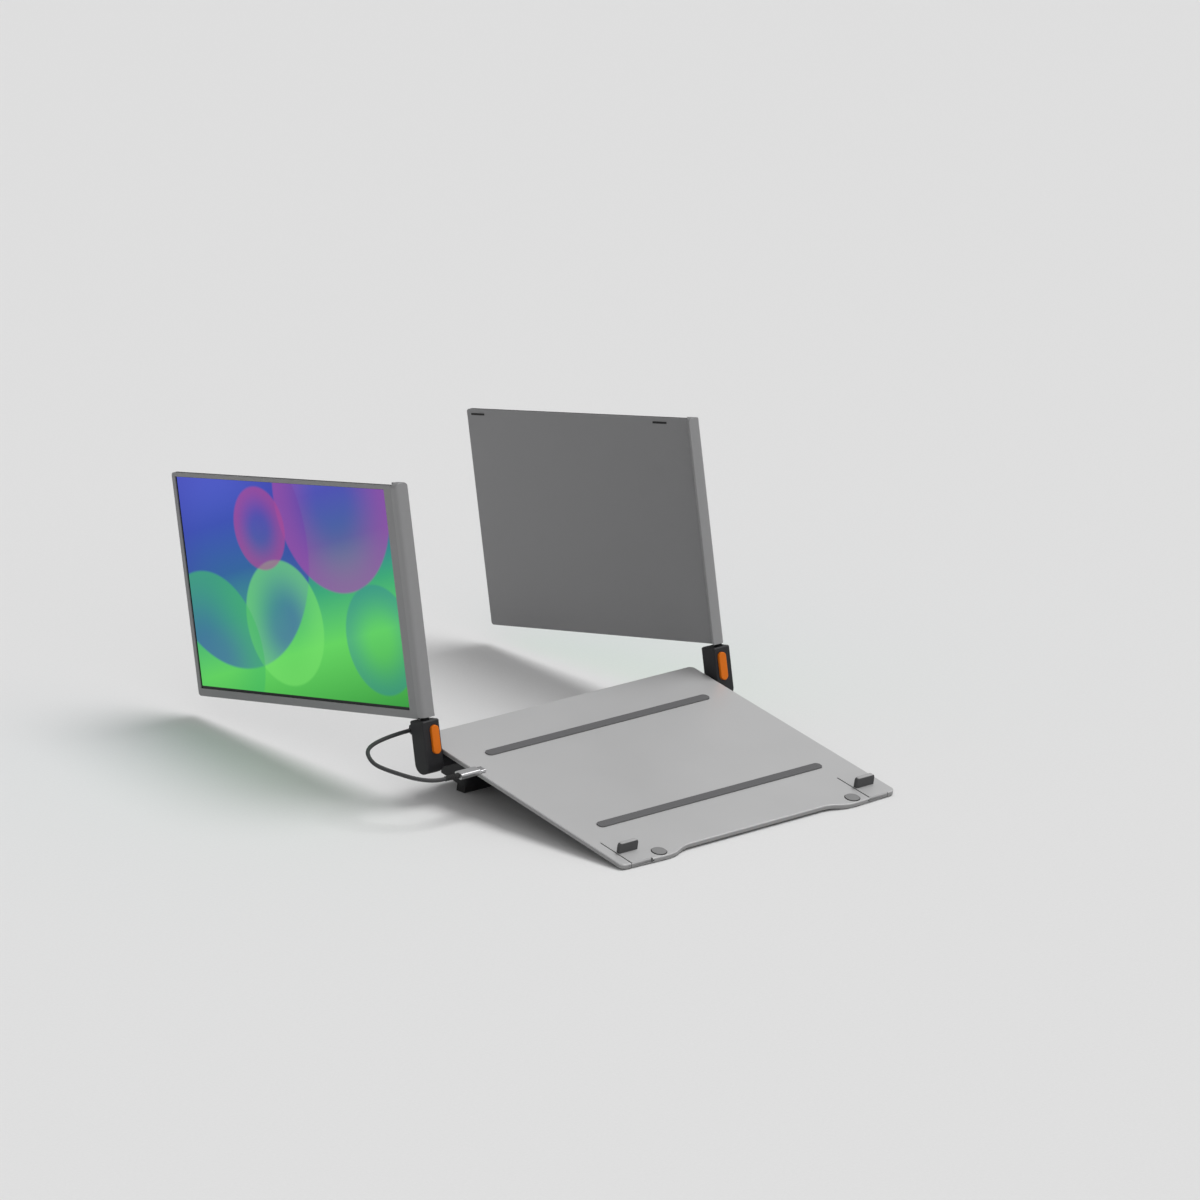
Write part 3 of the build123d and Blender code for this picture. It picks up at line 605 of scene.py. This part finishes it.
def mesh_from(bm, name):
    bmesh.ops.remove_doubles(bm, verts=bm.verts, dist=MERGE_DISTANCE)
    bmesh.ops.recalc_face_normals(bm, faces=bm.faces)
    mesh = bpy.data.meshes.new(name)
    bm.to_mesh(mesh)
    bm.free()
    return mesh


def rounded_outline(width, height, corner, steps=8):
    """Points round a rectangle with rounded corners, about its middle."""
    points = []
    for quarter, (x, y) in enumerate(((1, 1), (-1, 1), (-1, -1), (1, -1))):
        for step in range(steps + 1):
            angle = pi / 2 * (quarter + step / steps)
            points.append((x * (width / 2 - corner) + corner * cos(angle),
                           y * (height / 2 - corner) + corner * sin(angle)))
    return points


def lofted_mesh(name, sections, to_place):
    """A closed skin through outlines with as many points. Each section is (along, outline)."""
    bm = bmesh.new()
    rings = [[bm.verts.new(to_place(along, x, y)) for x, y in outline] for along, outline in sections]
    count = len(rings[0])
    for low, high in zip(rings, rings[1:]):
        for step in range(count):
            after = (step + 1) % count
            bm.faces.new((low[step], low[after], high[after], high[step]))
    bm.faces.new(rings[0])
    bm.faces.new(rings[-1])
    return mesh_from(bm, name)


def turned_mesh(name, profile, origin, axis, sides=48):
    """A round piece: (along, radius) pairs turned about an axis from an origin. Both ends are closed."""
    turn = axis.to_track_quat("Z", "Y").to_matrix()
    angles = [2 * pi * step / sides for step in range(sides)]
    sections = []
    for along, radius in profile:
        sections.append((along, [(radius * cos(angle), radius * sin(angle)) for angle in angles]))

    def place(along, x, y):
        return origin + turn @ Vector((x, y, along))

    return lofted_mesh(name, sections, place)


def baked_mesh(piece):
    """The mesh that an object's curve or modifiers give."""
    bpy.context.view_layer.update()
    graph = bpy.context.evaluated_depsgraph_get()
    return bpy.data.meshes.new_from_object(piece.evaluated_get(graph))


def line_along_x(node):
    """Start and length of the middle line of a CAD node that lies along X."""
    low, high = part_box(node)
    return Vector((low.x, (low.y + high.y) / 2, (low.z + high.z) / 2)), high.x - low.x


# Geometry node trees for what repeats

def repeat_tree(name, sizes, build_shape):
    """A tree that puts one built shape on every point of a mesh. Sizes are named float inputs."""
    tree = bpy.data.node_groups.new(name, "GeometryNodeTree")
    tree.interface.new_socket("Geometry", in_out="INPUT", socket_type="NodeSocketGeometry")
    for label, default in sizes:
        socket = tree.interface.new_socket(label, in_out="INPUT", socket_type="NodeSocketFloat")
        socket.default_value = default
    tree.interface.new_socket("Turn", in_out="INPUT", socket_type="NodeSocketVector")
    tree.interface.new_socket("Material", in_out="INPUT", socket_type="NodeSocketMaterial")
    tree.interface.new_socket("Geometry", in_out="OUTPUT", socket_type="NodeSocketGeometry")
    source = tree.nodes.new("NodeGroupInput")
    result = tree.nodes.new("NodeGroupOutput")
    copies = tree.nodes.new("GeometryNodeInstanceOnPoints")
    turn = tree.nodes.new("FunctionNodeEulerToRotation")
    real = tree.nodes.new("GeometryNodeRealizeInstances")
    paint = tree.nodes.new("GeometryNodeSetMaterial")
    link = tree.links.new
    link(source.outputs["Geometry"], copies.inputs["Points"])
    link(build_shape(tree, source), copies.inputs["Instance"])
    link(source.outputs["Turn"], turn.inputs[0])
    link(turn.outputs[0], copies.inputs["Rotation"])
    link(copies.outputs[0], real.inputs[0])
    link(real.outputs[0], paint.inputs["Geometry"])
    link(source.outputs["Material"], paint.inputs["Material"])
    link(paint.outputs[0], result.inputs[0])
    return tree


def socket_screw_shape(tree, source):
    """A low round head with a hexagon socket, its top along Z."""
    link = tree.links.new
    head = tree.nodes.new("GeometryNodeMeshCylinder")
    head.inputs["Vertices"].default_value = 24
    socket = tree.nodes.new("GeometryNodeMeshCylinder")
    socket.inputs["Vertices"].default_value = 6
    lift = tree.nodes.new("GeometryNodeTransform")
    place = tree.nodes.new("ShaderNodeCombineXYZ")
    cut = tree.nodes.new("GeometryNodeMeshBoolean")
    cut.operation = "DIFFERENCE"
    for node, radius in ((head, "Radius"), (socket, "Socket radius")):
        link(source.outputs[radius], node.inputs["Radius"])
        link(source.outputs["Height"], node.inputs["Depth"])
    link(math_node(tree, "MULTIPLY", source.outputs["Height"], 0.5), place.inputs["Z"])
    link(place.outputs[0], lift.inputs["Translation"])
    link(socket.outputs["Mesh"], lift.inputs["Geometry"])
    link(head.outputs["Mesh"], cut.inputs["Mesh 1"])
    link(lift.outputs["Geometry"], cut.inputs["Mesh 2"])
    return cut.outputs["Mesh"]


def rib_shape(tree, source):
    """A round rib, its length along Z."""
    rib = tree.nodes.new("GeometryNodeMeshCylinder")
    rib.inputs["Vertices"].default_value = 10
    tree.links.new(source.outputs["Radius"], rib.inputs["Radius"])
    tree.links.new(source.outputs["Height"], rib.inputs["Depth"])
    return rib.outputs["Mesh"]


def repeat_piece(name, tree, points, turn, material, **sizes):
    """Runs a repeat tree over a list of points, and keeps the result as a plain mesh."""
    mesh = bpy.data.meshes.new(name + "_points")
    mesh.from_pydata(points, [], [])
    piece = bpy.data.objects.new(name, mesh)
    bpy.context.scene.collection.objects.link(piece)
    modifier = piece.modifiers.new("repeat", "NODES")
    modifier.node_group = tree
    values = {"Turn": turn, "Material": material_of(material), **sizes}
    for item in tree.interface.items_tree:
        if item.in_out == "INPUT" and item.name in values:
            modifier[item.identifier] = values[item.name]
    result = baked_mesh(piece)
    piece.modifiers.clear()
    piece.data = result
    return piece


def euler_to(direction):
    """Turns that bring Z to a direction."""
    return tuple(direction.to_track_quat("Z", "Y").to_euler())


def screw_piece(name, points, direction, radius, height):
    """Socket screws on a list of points, with their heads facing one way."""
    sizes = {"Radius": radius, "Height": height, "Socket radius": radius / 2}
    tree = bpy.data.node_groups.get("socket_screws")
    if tree is None:
        tree = repeat_tree("socket_screws", sizes.items(), socket_screw_shape)
    return repeat_piece(name, tree, points, euler_to(direction), "ground_steel", **sizes)


# Settings

class MonitorLook(bpy.types.PropertyGroup):
    """Colours and levels of the finishes."""

    deck_colour: FloatVectorProperty(name="Deck", description="Blasted metal of the tray and slides",
                                     subtype="COLOR", default=(0.57, 0.57, 0.572))
    charcoal_colour: FloatVectorProperty(name="Charcoal", description="Moulded blocks and riser",
                                         subtype="COLOR", default=(0.020, 0.020, 0.022))
    housing_colour: FloatVectorProperty(name="Housing", description="Bezels and rear covers of screens",
                                        subtype="COLOR", default=(0.262, 0.262, 0.267))
    spine_colour: FloatVectorProperty(name="Spine", description="Spines and their end caps",
                                      subtype="COLOR", default=(0.290, 0.290, 0.294))
    button_colour: FloatVectorProperty(name="Button", description="Release buttons", subtype="COLOR",
                                       default=(0.71, 0.162, 0.005))
    lead_colour: FloatVectorProperty(name="Lead", description="Jacket of the lead", subtype="COLOR",
                                     default=(0.050, 0.050, 0.052))
    brightness: FloatProperty(name="Brightness", description="Light of the screens' picture", min=0.0,
                              default=1.0)


class MonitorHardware(bpy.types.PropertyGroup):
    """Sizes of the small repeated hardware."""

    screw_radius: FloatProperty(name="Screw head", description="Radius of the base plate screws' heads",
                                unit="LENGTH", default=1.5 * MM)
    screw_height: FloatProperty(name="Screw height", description="Height of the base plate screws' heads",
                                unit="LENGTH", default=0.5 * MM)
    rib_radius: FloatProperty(name="Rib", description="Radius of the ribs on the grip strips",
                              unit="LENGTH", default=0.45 * MM)
    rib_pitch: FloatProperty(name="Rib pitch", description="Distance between ribs on the grip strips",
                             unit="LENGTH", default=2.5 * MM)
    relief_rings: IntProperty(name="Relief rings", description="Rings on the plug's strain relief",
                              min=1, default=5)


class MonitorStage(bpy.types.PropertyGroup):
    """Floor, light and camera."""

    floor_colour: FloatVectorProperty(name="Floor", description="Plain pale floor", subtype="COLOR",
                                      default=(0.80, 0.80, 0.80))
    world_strength: FloatProperty(name="World light", description="Even light from all round",
                                  default=0.36)
    key_strength: FloatProperty(name="Key light", description="Soft sun from above on the right",
                                default=1.50)
    fill_strength: FloatProperty(name="Fill light", description="Broad sun from the front", default=0.68)
    lens: FloatProperty(name="Lens", description="Focal length of the camera", unit="CAMERA",
                        default=189.34)


# Operators

class MONITOR_OT_finishes(bpy.types.Operator):
    """Makes the finishes that the other steps give to the pieces."""

    bl_idname = "monitor.finishes"
    bl_label = "Finishes"

    def execute(self, context):
        make_materials(context.scene.monitor_look)
        return {"FINISHED"}


class MONITOR_OT_stage(bpy.types.Operator):
    """Adds the camera, the floor and the soft lights."""

    bl_idname = "monitor.stage"
    bl_label = "Stage"

    def execute(self, context):
        scene = context.scene
        settings = scene.monitor_stage
        camera = bpy.data.objects.new("camera", bpy.data.cameras.new("camera"))
        camera.data.lens = settings.lens
        camera.data.sensor_width = SENSOR_WIDTH
        camera.data.clip_end = VIEW_REACH
        away = Vector((sin(VIEW_AZIMUTH) * cos(VIEW_ELEVATION), -cos(VIEW_AZIMUTH) * cos(VIEW_ELEVATION),
                       sin(VIEW_ELEVATION)))
        camera.location = VIEW_TARGET + away * VIEW_DISTANCE
        camera.rotation_euler = euler_to(away)
        scene.collection.objects.link(camera)
        scene.camera = camera
        self.floor(settings.floor_colour)
        self.world(scene, settings.world_strength)
        self.sun(scene, "key", KEY_DIRECTION, KEY_SPREAD, settings.key_strength)
        self.sun(scene, "fill", FILL_DIRECTION, FILL_SPREAD, settings.fill_strength)
        scene.view_settings.view_transform = "Standard"
        return {"FINISHED"}

    def floor(self, colour):
        bm = bmesh.new()
        bmesh.ops.create_grid(bm, x_segments=1, y_segments=1, size=FLOOR_HALF)
        mesh = mesh_from(bm, "floor")
        grained("pale_floor", colour, 0.85, grain=400.0, bump=0.02, drift=0.0)
        floor = add_piece("floor", mesh, "pale_floor", smooth=False)

    def world(self, scene, strength):
        scene.world = bpy.data.worlds.new("studio")
        scene.world.use_nodes = True
        background = scene.world.node_tree.nodes["Background"]
        background.inputs["Color"].default_value = (1.0, 1.0, 1.0, 1.0)
        background.inputs["Strength"].default_value = strength

    def sun(self, scene, name, direction, spread, strength):
        light = bpy.data.lights.new(name, "SUN")
        light.energy = strength
        light.angle = spread
        holder = bpy.data.objects.new(name, light)
        holder.location = VIEW_TARGET + SUN_DISTANCE * direction
        holder.rotation_euler = euler_to(direction)
        scene.collection.objects.link(holder)


class MONITOR_OT_lead(bpy.types.Operator):
    """Lays the lead from the gland to its plug, with a ringed relief and a hollow connector."""

    bl_idname = "monitor.lead"
    bl_label = "Lead"

    def execute(self, context):
        relief = self.relief(context.scene.monitor_hardware.relief_rings)
        tip, tongue = self.tip()
        finish_node("plug_shell", "plug_silver")
        finish_node("cable_gland", "moulded_charcoal")
        self.lead([relief, frame["nodes"]["plug_shell"], tip, tongue])
        return {"FINISHED"}

    def lead(self, on_it):
        """A curve along the route, baked once bare and dropped, then thick for its mesh."""
        data = bpy.data.curves.new("lead", "CURVE")
        data.dimensions = "3D"
        data.resolution_u = 24
        spline = data.splines.new("NURBS")
        spline.points.add(len(LEAD_ROUTE) - 1)
        for point, place in zip(spline.points, LEAD_ROUTE):
            point.co = (*place, 1.0)
        spline.order_u = 3
        spline.use_endpoint_u = True
        line = bpy.data.objects.new("lead_line", data)
        bpy.context.scene.collection.objects.link(line)
        bare = baked_mesh(line)
        bpy.data.meshes.remove(bare)
        data.bevel_depth = LEAD_DIAMETER / 2
        data.bevel_resolution = 6
        data.use_fill_caps = True
        mesh = baked_mesh(line)
        bpy.data.objects.remove(line)
        lead = add_piece("lead", mesh, "lead_jacket")
        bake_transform(lead)
        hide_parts("cable")

    def relief(self, rings):
        """Ringed sleeve that grows a little towards the plug."""
        origin, length = line_along_x("plug_relief")
        profile = [(0.0, RELIEF_START - RELIEF_EASE), (RELIEF_EASE, RELIEF_START)]
        pitch = OVER_RINGS * length / rings
        for ring in range(rings):
            along = BEFORE_RINGS * length + ring * pitch
            radius = RELIEF_START + (RELIEF_END - RELIEF_START) * along / length
            groove = radius - GROOVE_DEPTH
            profile += [(along, radius), (along + GROOVE_SIDE * pitch, groove),
                        (along + (GROOVE_WIDTH - GROOVE_SIDE) * pitch, groove),
                        (along + GROOVE_WIDTH * pitch, radius)]
        profile += [(UP_TO_COLLAR * length, RELIEF_END - COLLAR_STEP), (length - RELIEF_EASE, RELIEF_END),
                    (length, RELIEF_END - 2 * COLLAR_STEP)]
        mesh = turned_mesh("plug_relief_rings", profile, origin, Vector((1, 0, 0)))
        piece = add_piece("plug_relief_rings", mesh, "black_rubber")
        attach(piece, "tray")
        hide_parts("plug_relief")
        return piece

    def tip(self):
        """Oval metal shell with a hollow mouth and a thin tongue inside it."""
        origin, length = line_along_x("plug_tip")
        _, along_slope, square = tray_axes()

        def place(along, x, y):
            return origin + Vector((along, 0, 0)) + along_slope * x + square * y

        def outline(inset, corner):
            return rounded_outline(TIP_WIDTH - 2 * inset, TIP_HEIGHT - 2 * inset, corner)

        outer = outline(0.0, TIP_CORNER)
        eased = outline(TIP_EASE, TIP_CORNER - TIP_EASE / 2)
        inner = outline(TIP_WALL, TIP_CORNER - TIP_WALL)
        sections = [(0.0, outer), (length - 1.5 * TIP_EASE, outer), (length, eased), (length, inner),
                    (TIP_FLOOR, inner)]
        shell = lofted_mesh("plug_tip_shell", sections, place)
        piece = add_piece("plug_tip_shell", shell, "ground_steel", smooth=False)
        tongue = rounded_outline(BLADE_WIDTH, BLADE_HEIGHT, BLADE_CORNER, steps=3)
        mesh = lofted_mesh("plug_tongue", [(TIP_FLOOR, tongue), (length - BLADE_SET_BACK, tongue)], place)
        blade = add_piece("plug_tongue", mesh, "matt_black", smooth=False)
        for part, slot in ((piece, "shaft_steel"), (blade, "frame_black")):
            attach(part, "tray")
        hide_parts("plug_tip")
        return piece, blade


class MONITOR_OT_tray(bpy.types.Operator):
    """Finishes the tray, ribs its grip strips and adds the base plate's screws."""

    bl_idname = "monitor.tray"
    bl_label = "Tray"

    def execute(self, context):
        sizes = context.scene.monitor_hardware
        finish_node("tray_deck", "blasted_deck")
        finish_node("base_plate", "coated_plate")
        finish_node("grip_strips", "dark_rubber")
        finish_node("front_bumpers", "pale_rubber")
        finish_node("front_feet", "black_rubber")
        finish_pair("stop_slide", "blasted_deck")
        finish_pair("stop_sleeve", "ribbed_rubber")
        self.ribs(sizes)
        self.screws(sizes)
        return {"FINISHED"}

    def ribs(self, sizes):
        origin, along_slope, square = tray_axes()
        count = int(2 * RIBBED_HALF / sizes.rib_pitch) + 1
        points = []
        for up_slope in (STRIP_FRONT, STRIP_REAR):
            middle = origin + along_slope * up_slope + square * (STRIP_TOP - RIB_SUNK)
            for step in range(count):
                points.append(middle + Vector((step * sizes.rib_pitch - RIBBED_HALF, 0, 0)))
        rib = {"Radius": sizes.rib_radius, "Height": RIB_LENGTH}
        tree = repeat_tree("grip_ribs", rib.items(), rib_shape)
        piece = repeat_piece("grip_ribs", tree, points, euler_to(along_slope), "dark_rubber", **rib)
        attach(piece, "tray")

    def screws(self, sizes):
        origin, along_slope, square = tray_axes()
        under = origin - square * (PLATE_UNDER + sizes.screw_height / 2)
        places = [(column, row) for column in SCREW_COLUMNS for row in SCREW_ROWS]
        places += [(column, SCREW_END_ROW) for column in (SCREW_COLUMNS[0], SCREW_COLUMNS[-1])]
        points = [under + Vector((column, 0, 0)) + along_slope * row for column, row in places]
        piece = screw_piece("base_plate_screws", points, -square, sizes.screw_radius, sizes.screw_height)
        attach(piece, "tray")


class MONITOR_OT_riser(bpy.types.Operator):
    """Finishes the riser, its foot and the tilt hinge."""

    bl_idname = "monitor.riser"
    bl_label = "Riser"

    def execute(self, context):
        for node in ("riser_housing", "riser_cover"):
            finish_node(node, "moulded_charcoal")
        finish_node("rear_foot", "black_rubber")
        finish_node("riser_screws", "ground_steel")
        finish_node("hinge_beam", "extruded_aluminium")
        finish_pair("tilt_shaft", "ground_steel")
        finish_pair("hinge_sleeve", "moulded_charcoal")
        return {"FINISHED"}


class MONITOR_OT_blocks(bpy.types.Operator):
    """Finishes the hinge blocks and buttons, with the screws of their covers and their leaf springs."""

    bl_idname = "monitor.blocks"
    bl_label = "Hinge blocks"

    def execute(self, context):
        finish_pair("block_shell", "moulded_charcoal")
        finish_pair("block_cover", "moulded_charcoal")
        finish_pair("release_button", "orange_button")
        finish_pair("swivel_bush", "matt_black")
        for hand in HANDS:
            self.screws(hand, context.scene.monitor_hardware)
            self.leaf(hand)
        return {"FINISHED"}

    def screws(self, hand, sizes):
        _, _, rear_axis, _ = side_axes(hand)
        radius = COVER_SCREW_SHARE * sizes.screw_radius
        height = COVER_SCREW_SHARE * sizes.screw_height
        rear = COVER_BACK + height / 2
        points = [side_point(hand, COVER_SCREW_OUT, rear, up) for up in COVER_SCREW_UPS]
        piece = screw_piece(hand + "_cover_screws", points, rear_axis, radius, height)
        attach(piece, hand + "_block")

    def leaf(self, hand):
        """Bowed leaf spring with tapered ends."""
        half = LEAF_LENGTH / 2
        radius = (half ** 2 + LEAF_BOW ** 2) / (2 * LEAF_BOW)
        steps = 32

        def place(along, x, y):
            sag = radius - (radius ** 2 - along ** 2) ** 0.5
            rear = LEAF_CROWN + LEAF_THICK / 2 + sag + y
            return side_point(hand, BUTTON_OUT + x, rear, BUTTON_UP + along)

        sections = []
        for step in range(steps + 1):
            share = 2 * step / steps - 1
            taper = max(0.0, abs(share) - LEAF_TAPER_FROM) / (1 - LEAF_TAPER_FROM)
            width = LEAF_WIDTH * (1 - (1 - LEAF_TIP_SHARE) * taper)
            sections.append((share * half, rounded_outline(width, LEAF_THICK, LEAF_THICK / 3, steps=3)))
        mesh = lofted_mesh(hand + "_leaf_spring", sections, place)
        piece = add_piece(hand + "_leaf_spring", mesh, "ground_steel", smooth=False)
        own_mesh(piece)
        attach(piece, hand + "_block")
        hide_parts(hand + "_button_spring")


class MONITOR_OT_screens(bpy.types.Operator):
    """Finishes the spines and screens, and lights their pictures."""

    bl_idname = "monitor.screens"
    bl_label = "Screens"

    def execute(self, context):
        for node, material in (("spine", "anodised_spine"), ("spine_cap", "anodised_spine"),
                               ("swivel_shaft", "ground_steel"), ("swivel_washer", "matt_black"),
                               ("front_bezel", "satin_housing"), ("edge_frame", "matt_black"),
                               ("rear_cover", "satin_housing"), ("rear_rests", "black_rubber"),
                               ("display_panel", "lit_panel"), ("driver_board", "circuit_board")):
            finish_pair(node, material)
        return {"FINISHED"}


class MONITOR_PT_panel(bpy.types.Panel):
    """Lists the settings and the operators."""

    bl_idname = "MONITOR_PT_panel"
    bl_label = "Monitor"
    bl_space_type = "VIEW_3D"
    bl_region_type = "UI"
    bl_category = "Monitor"

    def draw(self, context):
        for holder, kind in SETTINGS.items():
            for name in kind.__annotations__:
                self.layout.prop(getattr(context.scene, holder), name)
        for step in STEPS:
            self.layout.operator(step.bl_idname)


STEPS = (MONITOR_OT_finishes, MONITOR_OT_stage, MONITOR_OT_lead, MONITOR_OT_tray, MONITOR_OT_riser,
         MONITOR_OT_blocks, MONITOR_OT_screens)
SETTINGS = {"monitor_look": MonitorLook, "monitor_hardware": MonitorHardware,
            "monitor_stage": MonitorStage}


def register():
    for kind in (*SETTINGS.values(), *STEPS, MONITOR_PT_panel):
        bpy.utils.register_class(kind)
    for name, kind in SETTINGS.items():
        setattr(bpy.types.Scene, name, PointerProperty(type=kind))


def unregister():
    for name in SETTINGS:
        delattr(bpy.types.Scene, name)
    for kind in (MONITOR_PT_panel, *reversed(STEPS), *SETTINGS.values()):
        bpy.utils.unregister_class(kind)


def main():
    register()
    bpy.ops.monitor.finishes()
    bpy.ops.monitor.stage()
    bpy.ops.monitor.lead()
    bpy.ops.monitor.tray()
    bpy.ops.monitor.riser()
    bpy.ops.monitor.blocks()
    bpy.ops.monitor.screens()


if __name__ == "__main__":
    main()
